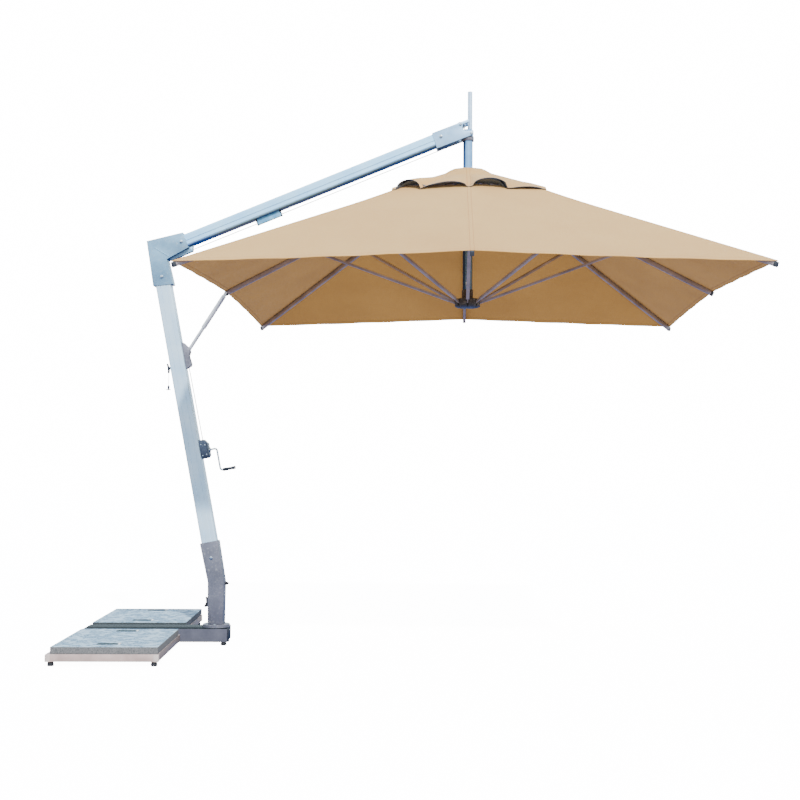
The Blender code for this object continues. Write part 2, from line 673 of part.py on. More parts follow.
def grooved_wheel(name, centre, radius, width):
    """A pulley about the Y axis, with a groove for the rope."""
    bore = 0.004
    half = width / 2
    profile = [(bore, half), (radius + 0.002, half), (radius + 0.002, half - 0.003), (radius, 0.002),
               (radius, -0.002), (radius + 0.002, -half + 0.003), (radius + 0.002, -half),
               (bore, -half)]
    turned(name, profile, "steel", Matrix.Translation(centre) @ Matrix.Rotation(-math.pi / 2, 4, "X"),
           steps=24, closed=True)


def winch():
    """The housing on the mast, its drum, and the crank with a turning grip."""
    face = MAST_W / 2
    centre, half = 0.811, 0.0575
    front = face + 0.050
    crank_at = centre - 0.009
    rim = [(face + GAP, centre - half), (front - 0.012, centre - half), (front, centre - half + 0.014),
           (front, centre + half - 0.026), (front - 0.020, centre + half), (face + GAP, centre + half)]
    housing = plate("winch_housing", [on_mast(a, o) for o, a in rim], 0.072, "dark_plastic")
    room = mast_box("winch_room", (face - 0.02, centre - half + 0.006), (front - 0.006, centre + half - 0.03),
                    0.031)
    hole = cylinder("shaft_hole", 0.0068, on_mast(crank_at, front - 0.02), on_mast(crank_at, front + 0.02),
                    None, sides=16, group=CUTTERS)
    exit_at = face + ROPE_STANDOFF
    passage = cylinder("rope_passage", 0.006, on_mast(centre, exit_at, 0.0255),
                       on_mast(centre + 0.1, exit_at, 0.0205), None, sides=12, group=CUTTERS)
    cut(housing, room, hole, passage)
    cylinder("winch_drum", DRUM_R, on_mast(crank_at, face + 0.004), on_mast(crank_at, front - 0.012),
             "steel", sides=24)
    arm_out, corner, grip_end, bend = 0.143, crank_at - 0.136, 0.235, 0.012
    points = [on_mast(crank_at, front - 0.0115), on_mast(crank_at, arm_out - bend),
              on_mast(crank_at - bend * 0.3, arm_out - bend * 0.3), on_mast(crank_at - bend, arm_out),
              on_mast(corner + bend, arm_out), on_mast(corner + bend * 0.3, arm_out + bend * 0.3),
              on_mast(corner, arm_out + bend), on_mast(corner, grip_end)]
    wire("crank_handle", points, 0.006, "steel")
    grip = [(0.0064, 0.082), (0.009, 0.082), (0.0105, 0.076), (0.0090, 0.045), (0.0105, 0.010),
            (0.009, 0.003), (0.0064, 0.003)]
    turned("crank_grip", grip, "dark_plastic", axes(on_mast(corner, arm_out + bend), SIDE, UP_MAST, OUT_MAST),
           steps=20, closed=True)


# ---------------------------------------------------------------- stay, locks and trim
def stay():
    """The telescopic stay that steadies the nearest rib's end, and the bracket that carries it."""
    face = MAST_W / 2
    rim = [(face + GAP, 1.318), (0.0800, 1.330), (0.0840, 1.345), (0.0780, 1.395), (0.0900, 1.418),
           (0.0900, 1.440), (0.0780, 1.455), (0.0600, 1.480), (face + GAP, 1.486)]
    bracket = plate("stay_bracket", [on_mast(a, o) for o, a in rim], 0.044, "cast_grey")
    fork_slot = mast_box("fork_slot", (face + 0.006, 1.401), (0.12, 1.51), 0.0135)
    pulley_slot = mast_box("pulley_slot", (face + 0.004, 1.30), (0.12, 1.385), 0.0095)
    cut(bracket, fork_slot, pulley_slot)
    wheel_r = 0.0095
    grooved_wheel("mast_pulley", on_mast(1.348, face + ROPE_STANDOFF + 0.001), wheel_r, 0.012)
    pivot = on_mast(1.430, 0.0795)
    head = Vector((POLE_X, 0, 0)) + STAY_HEAD
    along = (head - pivot).normalized()
    length = (head - pivot).length
    rod = cylinder("stay_rod", STAY_ROD_R, pivot, pivot + (length - STAY_TRAVEL - 0.018) * along, "anodised",
                   sides=20)
    eye_ends = (pivot - 0.012 * SIDE, pivot + 0.012 * SIDE)
    join(rod, cylinder("stay_eye", STAY_ROD_R + 0.001, *eye_ends, None, sides=20, group=CUTTERS))
    sleeve = cylinder("stay_sleeve", STAY_SLEEVE_R, pivot + 0.165 * along, head, "anodised", sides=20)
    bore = cylinder("stay_bore", STAY_ROD_R + GAP, pivot + 0.1 * along, head - 0.014 * along, None, sides=20,
                    group=CUTTERS)
    for side in (-1, 1):
        cheek = box("stay_cheek", (-0.008, -0.002, -0.012), (0.008, 0.002, 0.030), None,
                    axes(head + side * 0.0120 * SIDE, Vector((along.z, 0, -along.x)), SIDE, along),
                    group=CUTTERS)
        join(sleeve, cheek)
    cut(sleeve, bore)


def trim():
    """The turning lock, the tension knob, the cleat and its short pull cord."""
    pin = (MAST_X - 0.0488 - PEDAL_HUB_R, 0, PEDAL_Z)
    hub = [(PEDAL_HUB_R * math.cos(a), PEDAL_HUB_R * math.sin(a))
           for a in (math.radians(angle) for angle in range(-60, 61, 30))]
    lever = hub + [(0.002, 0.026), (0, 0.044), (-0.004, 0.050), (-0.009, 0.050), (-0.011, 0.045),
                   (-0.007, 0.038), (-0.006, 0.020), (-0.011, 0.008), (-0.016, 0), (-0.016, -0.008),
                   (-0.009, -0.012)]
    outline("lock_pedal", [lever], 0.026, "dark_plastic", upright(pin))
    knob = [(0, 0.026), (0.003, 0.026), (0.006, 0.020), (0.010, 0.014), (0.010, 0.006), (0.005, 0.004),
            (0.005, 0), (0, 0)]
    right = Vector((MAST_X + 0.046 + 0.003 + GAP, 0, BEND_Z - 0.010))
    turned("tension_knob", knob, "dark_plastic",
           Matrix.Translation(right) @ Matrix.Rotation(math.pi / 2, 4, "Y"), steps=20)
    face = -MAST_W / 2 - GAP
    cleat = [(face, 1.338), (face - 0.010, 1.336), (face - 0.018, 1.312), (face - 0.026, 1.314),
             (face - 0.022, 1.345), (face - 0.024, 1.372), (face - 0.016, 1.374), (face - 0.010, 1.350),
             (face, 1.350)]
    plate("cord_cleat", [on_mast(a, o) for o, a in cleat], 0.014, "dark_plastic")
    low = on_mast(1.312, face - 0.0215)
    hang = 0.072
    top = Vector((low.x, 0, low.z - 0.001))
    wire("pull_cord", [(top.x, 0, top.z - hang * step / 8) for step in range(9)], CORD_R, "rope")
    knot = [(0, 0.030), (0.004, 0.030), (0.007, 0.024), (0.006, 0.010), (0.0045, 0.006), (0.0045, 0),
            (0, 0)]
    foot_z = top.z - hang - GAP - 0.030
    body = turned("cord_toggle", knot, "dark_plastic", Matrix.Translation((top.x, 0, foot_z)), steps=16)
    ends = [(top.x + side * 0.014, 0, foot_z + 0.004) for side in (-1, 1)]
    bar = cylinder("toggle_bar", 0.003, *ends, None, sides=12, group=CUTTERS)
    join(body, bar)


base()
mast()
pole()
frame()
canopy()
rope()
winch()
stay()
trim()
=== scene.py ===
"""The looks of the cantilever parasol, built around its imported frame."""

import json
import math

import bmesh
import bpy
from mathutils import Matrix, Vector


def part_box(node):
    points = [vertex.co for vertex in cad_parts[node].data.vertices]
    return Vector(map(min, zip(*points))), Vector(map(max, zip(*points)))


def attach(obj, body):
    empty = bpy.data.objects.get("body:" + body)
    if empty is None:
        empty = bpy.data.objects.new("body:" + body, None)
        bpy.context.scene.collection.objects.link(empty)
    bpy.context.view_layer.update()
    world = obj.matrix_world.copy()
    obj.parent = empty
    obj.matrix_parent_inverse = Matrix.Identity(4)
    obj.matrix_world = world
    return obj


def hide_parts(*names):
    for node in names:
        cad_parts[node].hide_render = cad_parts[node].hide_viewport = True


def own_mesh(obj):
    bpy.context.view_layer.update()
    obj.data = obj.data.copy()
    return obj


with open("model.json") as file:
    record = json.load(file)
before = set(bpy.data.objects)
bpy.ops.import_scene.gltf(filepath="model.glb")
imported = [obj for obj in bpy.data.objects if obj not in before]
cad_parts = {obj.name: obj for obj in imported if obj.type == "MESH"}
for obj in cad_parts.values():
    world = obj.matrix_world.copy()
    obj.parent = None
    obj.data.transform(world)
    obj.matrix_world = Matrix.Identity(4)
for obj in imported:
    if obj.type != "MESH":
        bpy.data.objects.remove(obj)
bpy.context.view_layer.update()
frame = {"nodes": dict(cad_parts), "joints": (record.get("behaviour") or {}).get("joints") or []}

# ---------------------------------------------------------------- places and sizes, from the frame
POLE_LOW, POLE_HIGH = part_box("pole_tube")
POLE_X = (POLE_LOW.x + POLE_HIGH.x) / 2
POLE_R = (POLE_HIGH.x - POLE_LOW.x) / 2
JOINTS = {joint["name"]: joint for joint in frame["joints"]}
NODES = frame["nodes"]
MAST_X = JOINTS["mast_turn"]["pos_m"][0]
OUT_MAST = Vector(JOINTS["crank_turn"]["axis"]).normalized()
SIDE = Vector((0, 1, 0))
UP_MAST = OUT_MAST.cross(SIDE)
ARM_SLOPE = math.radians(21.98)
UP_ARM = Vector((math.cos(ARM_SLOPE), 0, math.sin(ARM_SLOPE)))
OVER_ARM = Vector((-math.sin(ARM_SLOPE), 0, math.cos(ARM_SLOPE)))
ARM_ANCHOR = Vector((POLE_X - 1.733, 0, 2.479))
BEND = Vector((MAST_X, 0, 0.376))

RIB_NAMES = ("right", "far_right", "far", "far_left", "left", "near_left", "near", "near_right")
CROWN_R = JOINTS["rib_fold_right"]["pos_m"][0] - POLE_X
CROWN_Z = JOINTS["rib_fold_right"]["pos_m"][2]
CAD_FABRIC_T = 0.003
CANOPY_HALF = (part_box("canopy")[1].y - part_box("canopy")[0].y) / 2 - CAD_FABRIC_T / 2
MID_END = Vector((1.492, 0, 2.148))
CORNER_END = Vector((1.492 * math.sqrt(2), 0, 2.092))
RIB_H = 0.025
MID_GAP, CORNER_GAP = 0.005, 0.009  # from a rib's top to the cloth's outer face, square to the rib
CLOTH_T = 0.0016
HEM_W, CAP_HEM_W = 0.030, 0.016
HEM_THICKER = 1.9                  # hem's thickness against the cloth's
HEM_CURVE = 0.012                  # how far the hem is cut in between two rib ends
PANEL_SAG = 0.010
PULL_START, PULL_REACH = 1.05, 0.45    # pull lines: half width where they begin, and how far they run
PULL_RISE, PULL_WAVES = 0.0016, 9
VENT_HALF = 0.372                  # the canopy's own opening
VENT_RISE, RISE_REACH = 0.012, 0.35    # how far the cloth around it stands off the ribs, and how far out
VENT_SLACK, SLACK_REACH = 0.006, 0.45  # how deep it sags between the ribs there, and how far out
CAP_HALF = 0.45
CAP_HOLE = 0.040
CAP_GAP = 0.006                    # from the canopy's cloth up to the cap's
CAP_TOP = CROWN_Z + 0.029
CAP_TOP_R = 0.055
CAP_SHOULDER = 0.150               # length of the fall from the cap's flat top to its skirt
LOBE_START = 0.40                  # share of the cap's half width where its lobes begin to rise
NET_HALF = CAP_HALF - 0.022
NET_T = 0.0010
NET_DROP = 0.010                   # the net's upper edge below the cap
BASE_TURN = math.radians(3.54)
BASE_PLACE = Matrix.Translation((MAST_X, 0, 0)) @ Matrix.Rotation(BASE_TURN, 4, "Z")
# the base's places are from the turning axis, before it is turned
TRAY_LEFT, TRAY_W, TRAY_FAR = -0.8115, 0.606, 0.885
SLAB_NEAR, SLAB_MID, GRIP_INSET = 0.153, -0.497, 0.100
CAMERA_AT = Vector((POLE_X - 0.1174, -7.6605, 1.1098))
CAMERA_YAW, CAMERA_PITCH, CAMERA_ROLL = 2.195, 2.859, 0.334   # degrees: left, up, right side raised
CAMERA_LENS, CAMERA_SENSOR = 56.32, 36                        # millimetres
KEY_TOWARDS = Vector((0.42, -1.12, 1.0))
CORD_R = 0.0015


# ---------------------------------------------------------------- camera, light and floor
def camera():
    yaw, pitch, roll = (math.radians(a) for a in (CAMERA_YAW, CAMERA_PITCH, CAMERA_ROLL))
    forward = Vector((-math.sin(yaw) * math.cos(pitch), math.cos(yaw) * math.cos(pitch), math.sin(pitch)))
    level = Vector((math.cos(yaw), math.sin(yaw), 0))
    above = level.cross(forward)
    right = math.cos(roll) * level + math.sin(roll) * above
    up = right.cross(forward)
    lens = bpy.data.cameras.new("camera")
    lens.sensor_width = CAMERA_SENSOR
    lens.lens = CAMERA_LENS
    lens.clip_end = 200
    made = bpy.data.objects.new("camera", lens)
    turn = Matrix((right, up, -forward)).transposed().to_4x4()
    made.matrix_world = Matrix.Translation(CAMERA_AT) @ turn
    bpy.context.scene.collection.objects.link(made)
    bpy.context.scene.camera = made


def light():
    """A soft key from the upper right in front; glossy surfaces see a white sky over a deep blue ground."""
    key = bpy.data.lights.new("key", "SUN")
    key.energy = 5.2
    key.angle = math.radians(2.5)
    key.color = (1.0, 0.985, 0.955)
    made = bpy.data.objects.new("key", key)
    made.rotation_euler = KEY_TOWARDS.to_track_quat("Z", "Y").to_euler()
    bpy.context.scene.collection.objects.link(made)
    world = bpy.data.worlds.new("studio")
    bpy.context.scene.world = world
    world.use_nodes = True
    world.cycles.sampling_method = "NONE"
    tree = world.node_tree
    tree.nodes.clear()
    link = tree.links.new
    where = tree.nodes.new("ShaderNodeTexCoord")
    split = tree.nodes.new("ShaderNodeSeparateXYZ")
    spread = tree.nodes.new("ShaderNodeMapRange")
    spread.inputs["From Min"].default_value = -1
    link(where.outputs["Generated"], split.inputs[0])
    link(split.outputs["Z"], spread.inputs["Value"])
    # height of the direction, from straight down (0) to straight up (1)
    reflected = background(tree, spread.outputs[0], 3.2, [
        (0.30, (0.005, 0.040, 0.200)), (0.475, (0.022, 0.075, 0.210)), (0.51, (0.34, 0.42, 0.51)),
        (0.56, (0.74, 0.90, 1.0))])
    spreading = background(tree, spread.outputs[0], 1.25, [
        (0.20, (1.0, 0.90, 0.76)), (0.48, (0.80, 0.76, 0.72)), (0.62, (0.64, 0.74, 0.90))])
    plain = tree.nodes.new("ShaderNodeBackground")
    plain.inputs["Color"].default_value = (1, 1, 1, 1)
    plain.inputs["Strength"].default_value = 16.0
    paths = tree.nodes.new("ShaderNodeLightPath")
    glossy = tree.nodes.new("ShaderNodeMixShader")
    seen = tree.nodes.new("ShaderNodeMixShader")
    out = tree.nodes.new("ShaderNodeOutputWorld")
    link(paths.outputs["Is Glossy Ray"], glossy.inputs["Fac"])
    link(spreading, glossy.inputs[1])
    link(reflected, glossy.inputs[2])
    link(paths.outputs["Is Camera Ray"], seen.inputs["Fac"])
    link(glossy.outputs[0], seen.inputs[1])
    link(plain.outputs[0], seen.inputs[2])
    link(seen.outputs[0], out.inputs["Surface"])


def background(tree, height, strength, stops):
    """A sky whose colour follows the height of the direction."""
    ramp = tree.nodes.new("ShaderNodeValToRGB")
    while len(ramp.color_ramp.elements) < len(stops):
        ramp.color_ramp.elements.new(0.5)
    for element, (position, colour) in zip(ramp.color_ramp.elements, stops):
        element.position = position
        element.color = (*colour, 1)
    around = tree.nodes.new("ShaderNodeBackground")
    around.inputs["Strength"].default_value = strength
    tree.links.new(height, ramp.inputs["Fac"])
    tree.links.new(ramp.outputs["Color"], around.inputs["Color"])
    return around.outputs[0]


def floor():
    shape = bmesh.new()
    bmesh.ops.create_circle(shape, cap_ends=True, radius=40, segments=96)
    data = bpy.data.meshes.new("floor")
    shape.to_mesh(data)
    shape.free()
    made = bpy.data.objects.new("floor", data)
    bpy.context.scene.collection.objects.link(made)
    paint = bpy.data.materials.new("floor")
    paint.use_nodes = True
    shader = paint.node_tree.nodes["Principled BSDF"]
    shader.inputs["Base Color"].default_value = (0.90, 0.90, 0.90, 1)
    shader.inputs["Roughness"].default_value = 0.9
    shader.inputs["Emission Color"].default_value = (1, 1, 1, 1)
    shader.inputs["Emission Strength"].default_value = 14.0
    data.materials.append(paint)
    made.visible_diffuse = False
    made.visible_glossy = False


# ---------------------------------------------------------------- material helpers
class Look:
    """A Principled material with a short way to add and join nodes."""

    def __init__(self, name, roughness, metallic=0.0, sheen=0.0, coat=0.0):
        self.material = bpy.data.materials.new(name)
        self.material.use_nodes = True
        self.tree = self.material.node_tree
        self.shader = self.tree.nodes["Principled BSDF"]
        self.shader.inputs["Roughness"].default_value = roughness
        self.shader.inputs["Metallic"].default_value = metallic
        self.shader.inputs["Sheen Weight"].default_value = sheen
        self.shader.inputs["Coat Weight"].default_value = coat
        self.place = self.tree.nodes.new("ShaderNodeTexCoord").outputs["Object"]

    def node(self, kind, inputs=None, **settings):
        made = self.tree.nodes.new(kind)
        for key, value in settings.items():
            setattr(made, key, value)
        for key, value in (inputs or {}).items():
            if isinstance(value, bpy.types.NodeSocket):
                self.tree.links.new(value, made.inputs[key])
            else:
                made.inputs[key].default_value = value
        return made

    def mapped(self, scale, turn=(0, 0, 0)):
        return self.node("ShaderNodeMapping", {"Vector": self.place, "Scale": scale, "Rotation": turn}
                         ).outputs[0]

    def noise(self, scale, detail=4.0, vector=None, rough=0.5):
        return self.node("ShaderNodeTexNoise", {"Vector": vector or self.place, "Scale": scale,
                                                "Detail": detail, "Roughness": rough}).outputs[0]

    def ramp(self, value, stops):
        made = self.node("ShaderNodeValToRGB", {"Fac": value})
        ramp = made.color_ramp
        while len(ramp.elements) < len(stops):
            ramp.elements.new(0.5)
        for element, (position, colour) in zip(ramp.elements, stops):
            element.position = position
            element.color = (*colour, 1) if len(colour) == 3 else colour
        return made.outputs["Color"]

    def mix(self, share, a, b, blend="MIX"):
        made = self.node("ShaderNodeMix", data_type="RGBA", blend_type=blend)
        for socket, value in ((made.inputs[0], share), (made.inputs[6], a), (made.inputs[7], b)):
            if isinstance(value, bpy.types.NodeSocket):
                self.tree.links.new(value, socket)
            else:
                socket.default_value = value if not isinstance(value, tuple) else (*value[:3], 1)
        return made.outputs[2]

    def math(self, operation, a, b=0.0, clamp=False):
        made = self.node("ShaderNodeMath", operation=operation, use_clamp=clamp)
        for socket, value in zip(made.inputs, (a, b)):
            if isinstance(value, bpy.types.NodeSocket):
                self.tree.links.new(value, socket)
            else:
                socket.default_value = value
        return made.outputs[0]

    def spread(self, value, low, high, start=0.0, end=1.0):
        return self.node("ShaderNodeMapRange", {"Value": value, "From Min": start, "From Max": end,
                                                "To Min": low, "To Max": high}).outputs[0]

    def colour(self, value):
        if isinstance(value, bpy.types.NodeSocket):
            self.tree.links.new(value, self.shader.inputs["Base Color"])
        else:
            self.shader.inputs["Base Color"].default_value = (*value, 1)
        return self

    def roughness(self, value):
        self.tree.links.new(value, self.shader.inputs["Roughness"])
        return self

    def bump(self, *layers):
        """Each layer is (height, distance in metres); they stack."""
        normal = None
        for height, distance in layers:
            inputs = {"Height": height, "Distance": distance, "Strength": 1.0}
            if normal:
                inputs["Normal"] = normal
            normal = self.node("ShaderNodeBump", inputs).outputs[0]
        self.tree.links.new(normal, self.shader.inputs["Normal"])
        return self


def linear(text):
    """A hex display colour as linear values."""
    parts = [int(text[i:i + 2], 16) / 255 for i in (1, 3, 5)]
    return tuple(c / 12.92 if c <= 0.04045 else ((c + 0.055) / 1.055) ** 2.4 for c in parts)


def extrusion(name, tone, dark, roughness, metallic, lean=0.0, along="Z", below=None, sides=None):
    """Anodised extrusion: fine die lines along the tube, soft clouding and small rubs.

    below is painted shade with painted blue reflection on the faces that look down, and sides is painted
    shade with painted dark-blue reflection on the faces that look along X.
    """
    look = Look(name, roughness, metallic)
    scale = {"Z": (420, 420, 2.0), "X": (2.0, 420, 420)}[along]
    lines = look.noise(1.0, 3, look.mapped(scale, (0, lean, 0)))
    cloud = look.noise(7.0, 3)
    rubs = look.noise(38.0, 5, rough=0.7)
    base = look.ramp(cloud, [(0.30, linear(dark)), (0.70, linear(tone))])
    base = look.mix(look.spread(lines, 0.0, 0.16), base, linear(dark), "MULTIPLY")
    base = look.mix(look.spread(rubs, 0.0, 0.5, 0.64, 0.80), base, linear("#eef4f8"))
    # painted shade with painted blue reflection on the faces that look down
    if below:
        base = look.mix(facing(look, "Z", -1), base, linear(below))
    # painted shade with painted dark-blue reflection, broad on the faces along -X and narrow on those along
    # +X
    if sides:
        base = look.mix(facing(look, "X", -1, 0.36, 0.66), base, linear(sides))
        base = look.mix(facing(look, "X", 1, 0.80, 0.94), base, linear(sides))
    rough = look.math("ADD", look.spread(lines, roughness - 0.05, roughness + 0.07),
                      look.spread(rubs, -0.03, 0.06, 0.4, 0.7))
    look.colour(base).roughness(rough).bump((lines, 0.00006), (cloud, 0.0002))
    return look.material


def casting(name, tone, dark, roughness=0.5, metallic=0.35, below=None, right=None):
    """Powder coat over cast metal: orange peel, faint clouding, scattered dust, and optional painted shade:
    below on the faces that look down (with painted blue reflection), right on the faces that look along +X.
    """
    look = Look(name, roughness, metallic, coat=0.08)
    peel = look.noise(620.0, 2)
    cloud = look.noise(11.0, 4)
    dust = look.noise(70.0, 6, rough=0.65)
    base = look.ramp(cloud, [(0.32, linear(dark)), (0.68, linear(tone))])
    base = look.mix(look.spread(dust, 0.0, 0.35, 0.55, 0.75), base, linear("#c9c8c6"))
    # painted shade with painted blue reflection on the faces that look down
    if below:
        base = look.mix(facing(look, "Z", -1), base, linear(below))
    # painted shade on the faces that look along +X
    if right:
        base = look.mix(facing(look, "X", 1), base, linear(right))
    look.colour(base).roughness(look.spread(peel, roughness - 0.08, roughness + 0.10))
    look.bump((peel, 0.00012), (dust, 0.00008))
    return look.material


def beam_paint(name, tone, dark, top, right):
    """Powder coat as on the castings, with painted shade: dark on the top face, which lies sunk between the
    slabs, and darker on the faces that look along +X.
    """
    look = Look(name, 0.6, 0.0)
    look.shader.inputs["Specular IOR Level"].default_value = 0.04
    cloud = look.noise(11.0, 4)
    dust = look.noise(70.0, 6, rough=0.65)
    base = look.ramp(cloud, [(0.32, linear(dark)), (0.68, linear(tone))])
    # painted shade on the top face, sunk between the slabs
    base = look.mix(facing(look, "Z", 1), base, linear(top))
    # painted shade on the faces that look along +X
    base = look.mix(facing(look, "X", 1), base, linear(right))
    base = look.mix(look.spread(dust, 0.0, 0.08, 0.55, 0.75), base, linear("#8f989c"))
    look.colour(base).roughness(look.spread(dust, 0.42, 0.62)).bump((dust, 0.0001))
    return look.material


def plated(name, tone, roughness=0.28):
    look = Look(name, roughness, 1.0)
    grain = look.noise(1.0, 3, look.mapped((900, 900, 60)))
    cloud = look.noise(45.0, 4)
    base = look.ramp(cloud, [(0.3, linear("#8e9196")), (0.7, linear(tone))])
    look.colour(base).roughness(look.spread(grain, roughness - 0.06, roughness + 0.12))
    look.bump((grain, 0.00004))
    return look.material


def moulded(name, tone, dark, roughness=0.5, spark=1200.0):
    look = Look(name, roughness, 0.0)
    grain = look.node("ShaderNodeTexVoronoi", {"Vector": look.place, "Scale": spark}).outputs[0]
    cloud = look.noise(24.0, 4)
    scuff = look.noise(130.0, 6, rough=0.7)
    base = look.ramp(cloud, [(0.3, linear(dark)), (0.7, linear(tone))])
    base = look.mix(look.spread(scuff, 0.0, 0.25, 0.62, 0.75), base, linear("#a9adb2"))
    look.colour(base).roughness(look.spread(scuff, roughness - 0.07, roughness + 0.1))
    look.bump((grain, 0.00007), (scuff, 0.00005))
    return look.material


def facing(look, axis, sign, start=0.35, end=0.8):
    """1 on faces that look along an axis (or against it), 0 on the ones at right angles to it."""
    normal = look.tree.nodes.new("ShaderNodeNewGeometry").outputs["Normal"]
    parts = look.node("ShaderNodeSeparateXYZ", {0: normal})
    return look.spread(look.math("MULTIPLY", parts.outputs[axis], sign), 0.0, 1.0, start, end)


def stone(name, tone, pale, dark, sawn, sawn_dark, right):
    """Granular stone: speckle of three sizes with small pits, duller sawn sides and painted shade on the
    faces that look along +X.
    """
    look = Look(name, 0.82, 0.0)
    coarse = look.noise(85.0, 8, rough=0.75)
    fine = look.node("ShaderNodeTexVoronoi", {"Vector": look.place, "Scale": 260.0}).outputs["Distance"]
    patch = look.noise(24.0, 3)
    base = look.ramp(coarse, [(0.36, linear(dark)), (0.50, linear(tone)), (0.64, linear(pale))])
    base = look.mix(look.spread(fine, 0.45, 0.0, 0.05, 0.30), base, linear(dark), "MULTIPLY")
    base = look.mix(look.spread(patch, 0.0, 0.80, 0.47, 0.58), base, linear(pale))
    grain = look.noise(150.0, 6, rough=0.8)
    sides = look.ramp(grain, [(0.38, linear(sawn_dark)), (0.60, linear(sawn))])
    # painted shade on the faces that look along +X
    sides = look.mix(facing(look, "X", 1), sides, linear(right))
    base = look.mix(facing(look, "Z", 1), sides, base)
    look.colour(base).roughness(look.spread(coarse, 0.70, 0.95))
    look.bump((coarse, 0.0009), (fine, 0.0004))
    return look.material


def canvas(name, tone, dark, sheen=0.35, weave=0.0011):
    """Woven canopy cloth: plain weave, slubs, seams along the ribs and a stitched hem."""
    look = Look(name, 0.86, 0.0, sheen=sheen)
    look.shader.inputs["Sheen Roughness"].default_value = 0.5
    waves = 2 * math.pi / (20 * weave)
    warp = look.node("ShaderNodeTexWave", {"Vector": look.place, "Scale": waves, "Distortion": 0.6,
                                           "Detail Scale": 0.6}, bands_direction="X").outputs[1]
    weft = look.node("ShaderNodeTexWave", {"Vector": look.place, "Scale": waves, "Distortion": 0.6,
                                           "Detail Scale": 0.6}, bands_direction="Y").outputs[1]
    cloth = look.math("MULTIPLY", warp, weft)
    slub = look.noise(1.0, 3, look.mapped((14, 420, 60)))
    slub2 = look.noise(1.0, 3, look.mapped((420, 14, 60)))
    cloud = look.noise(2.6, 3)
    base = look.ramp(cloud, [(0.30, linear(dark)), (0.70, linear(tone))])
    base = look.mix(look.spread(look.math("ADD", slub, slub2), 0.0, 0.14, 0.8, 1.3), base, linear(dark),
                    "MULTIPLY")
    base = look.mix(look.spread(cloth, 0.10, 0.0), base, linear(dark), "MULTIPLY")
    seam = look.node("ShaderNodeAttribute", attribute_name="seam").outputs["Fac"]
    hem = look.node("ShaderNodeAttribute", attribute_name="hem").outputs["Fac"]
    thread = look.math("MAXIMUM", stitch(look, seam, 0.010), stitch(look, hem, 0.024))
    base = look.mix(look.math("MULTIPLY", thread, 0.55), base, linear(dark), "MULTIPLY")
    look.colour(base).roughness(look.spread(cloud, 0.80, 0.92))
    look.bump((cloth, 0.00022), (thread, -0.0006), (look.math("ADD", slub, slub2), 0.00012))
    return look.material


def stitch(look, distance, at):
    """1 within a millimetre or so of the line where the distance from a rib or the hem is at."""
    off = look.math("ABSOLUTE", look.math("SUBTRACT", distance, at))
    return look.spread(off, 1.0, 0.0, 0.0008, 0.0022)


def braided(name, tone, dark, pitch=0.006):
    look = Look(name, 0.9, 0.0, sheen=0.2)
    turns = 2 * math.pi / (20 * pitch)
    one = look.node("ShaderNodeTexWave", {"Vector": look.place, "Scale": turns, "Distortion": 1.0},
                    bands_direction="DIAGONAL").outputs[1]
    two = look.node("ShaderNodeTexWave", {"Vector": look.mapped((-1, 1, 1)), "Scale": turns,
                                          "Distortion": 1.0}, bands_direction="DIAGONAL").outputs[1]
    strands = look.math("MAXIMUM", one, two)
    base = look.ramp(strands, [(0.25, linear(dark)), (0.75, linear(tone))])
    look.colour(base).bump((strands, 0.0005))
    return look.material


def netting(name, tone):
    look = Look(name, 0.85, 0.0)
    waves = 2 * math.pi / (20 * 0.003)
    inputs = {"Vector": look.place, "Scale": waves}
    one = look.node("ShaderNodeTexWave", inputs, bands_direction="X").outputs[1]
    two = look.node("ShaderNodeTexWave", inputs, bands_direction="Z").outputs[1]
    threads = look.math("MAXIMUM", one, two)
    base = look.ramp(threads, [(0.2, linear("#4a5564")), (0.9, linear(tone))])
    look.colour(base).bump((threads, 0.0001))
    return look.material


# ---------------------------------------------------------------- mesh helpers
def add_piece(name, shape, material, body):
    """Turns a finished bmesh into a piece that rides on a body."""
    data = bpy.data.meshes.new(name)
    bmesh.ops.recalc_face_normals(shape, faces=shape.faces)
    shape.to_mesh(data)
    shape.free()
    made = bpy.data.objects.new(name, data)
    bpy.context.scene.collection.objects.link(made)
    data.materials.append(material)
    data.shade_smooth()
    data.set_sharp_from_angle(angle=math.radians(35))
    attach(made, body)


def axes(origin, x_dir, y_dir, z_dir):
    columns = Matrix((x_dir, y_dir, z_dir)).transposed().to_4x4()
    return Matrix.Translation(origin) @ columns


def rounded_block(shape, matrix, low, high, bevel, segments=3):
    """Adds a box with rounded edges, in matrix's frame."""
    low, high = Vector(low), Vector(high)
    size = high - low
    made = bmesh.ops.create_cube(shape, size=1, matrix=Matrix.Translation((low + high) / 2)
                                 @ Matrix.Diagonal((*size, 1)))["verts"]
    edges = list({e for v in made for e in v.link_edges})
    bevelled = bmesh.ops.bevel(shape, geom=edges, offset=bevel, segments=segments, profile=0.5,
                               affect="EDGES")
    verts = {v for f in bevelled["faces"] for v in f.verts} | {v for v in made if v.is_valid}
    bmesh.ops.transform(shape, matrix=matrix, verts=list(verts))


def lathe(shape, matrix, profile, steps=32):
    """Adds a turned solid about local Z; profile is (radius, height), from axis to axis or closed."""
    rings = []
    for radius, height in profile:
        if radius < 1e-6:
            rings.append([shape.verts.new(matrix @ Vector((0, 0, height)))])
        else:
            rings.append([shape.verts.new(matrix @ Vector((radius * math.cos(2 * math.pi * i / steps),
                                                           radius * math.sin(2 * math.pi * i / steps),
                                                           height))) for i in range(steps)])
    for low, high in zip(rings, rings[1:]):
        for i in range(steps):
            j = (i + 1) % steps
            corners = [low[i % len(low)], low[j % len(low)], high[j % len(high)], high[i % len(high)]]
            unique = list(dict.fromkeys(corners))
            if len(unique) > 2:
                shape.faces.new(unique)


